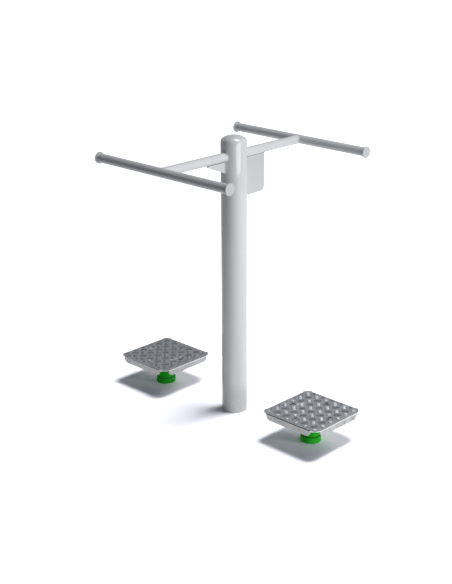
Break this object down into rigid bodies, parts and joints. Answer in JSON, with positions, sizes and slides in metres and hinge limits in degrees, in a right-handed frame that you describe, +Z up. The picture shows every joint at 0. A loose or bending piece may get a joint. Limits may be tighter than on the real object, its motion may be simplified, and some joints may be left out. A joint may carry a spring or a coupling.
{
  "type": "outdoor waist twister",
  "caption": "Free-standing outdoor exercise post with cross arms and long handle bars, flanked by low square treads that turn freely on ball-bearing swivel hubs.",
  "frame": {"origin": "middle of the post at the ground", "axes": "+Z up along the post, +X along the right arm, +Y from the post to the left tread and along the handle bars"},
  "size_m": [0.903, 1.2404, 1.288],
  "materials": {
    "grey_paint": "gloss light grey powder coat on steel tube",
    "sign_paint": "satin light grey powder coat on flat plate",
    "green_paint": "satin green powder coat on steel",
    "tread_metal": "mid grey coat on folded chequer plate",
    "carrier_paint": "dark primer",
    "cap_plastic": "fine moulded texture",
    "screw_steel": "dark oxide",
    "turned_steel": "turned",
    "bearing_steel": "ground",
    "cage_plastic": "moulded",
    "seal_rubber": "matt black"
  },
  "bodies": {
    "frame": {"post": "grey_paint", "post_cap": "grey_paint", "left_arm": "grey_paint", "right_arm": "grey_paint", "left_handle_bar": "grey_paint", "right_handle_bar": "grey_paint", "left_near_end_cap": "cap_plastic", "left_far_end_cap": "cap_plastic", "right_near_end_cap": "cap_plastic", "right_far_end_cap": "cap_plastic", "arm_gusset": "grey_paint", "sign_plate": "sign_paint", "left_base_ring": "green_paint", "left_grub_screw": "screw_steel", "left_spindle": "turned_steel", "left_shaft_seal": "seal_rubber", "left_lower_inner_ring": "bearing_steel", "left_upper_inner_ring": "bearing_steel", "left_spacer_sleeve": "turned_steel", "left_lock_washer": "turned_steel", "left_lock_nut": "turned_steel", "right_base_ring": "green_paint", "right_grub_screw": "screw_steel", "right_spindle": "turned_steel", "right_shaft_seal": "seal_rubber", "right_lower_inner_ring": "bearing_steel", "right_upper_inner_ring": "bearing_steel", "right_spacer_sleeve": "turned_steel", "right_lock_washer": "turned_steel", "right_lock_nut": "turned_steel"},
    "left_ball_cages": {"left_lower_cage": "cage_plastic", "left_upper_cage": "cage_plastic", "left_lower_balls": "bearing_steel", "left_upper_balls": "bearing_steel"},
    "left_platform": {"left_collar": "green_paint", "left_retaining_ring": "turned_steel", "left_lower_outer_ring": "bearing_steel", "left_upper_outer_ring": "bearing_steel", "left_carrier": "carrier_paint", "left_tread": "tread_metal", "left_tread_screws": "screw_steel"},
    "right_ball_cages": {"right_lower_cage": "cage_plastic", "right_upper_cage": "cage_plastic", "right_lower_balls": "bearing_steel", "right_upper_balls": "bearing_steel"},
    "right_platform": {"right_collar": "green_paint", "right_retaining_ring": "turned_steel", "right_lower_outer_ring": "bearing_steel", "right_upper_outer_ring": "bearing_steel", "right_carrier": "carrier_paint", "right_tread": "tread_metal", "right_tread_screws": "screw_steel"}
  },
  "joints": [
    {"name": "left_swivel", "type": "hinge", "parent": "frame", "child": "left_platform", "pos_m": [0, 0.463, 0.08], "axis": [0, 0, 1], "continuous": true},
    {"name": "left_cage_orbit", "type": "hinge", "parent": "frame", "child": "left_ball_cages", "pos_m": [0, 0.463, 0.08], "axis": [0, 0, 1], "continuous": true},
    {"name": "right_swivel", "type": "hinge", "parent": "frame", "child": "right_platform", "pos_m": [0, -0.463, 0.08], "axis": [0, 0, 1], "continuous": true},
    {"name": "right_cage_orbit", "type": "hinge", "parent": "frame", "child": "right_ball_cages", "pos_m": [0, -0.463, 0.08], "axis": [0, 0, 1], "continuous": true}
  ],
  "couplings": [
    {"joint": "left_cage_orbit", "follows": "left_swivel", "ratio": 0.5735},
    {"joint": "right_cage_orbit", "follows": "right_swivel", "ratio": 0.5735}
  ]
}
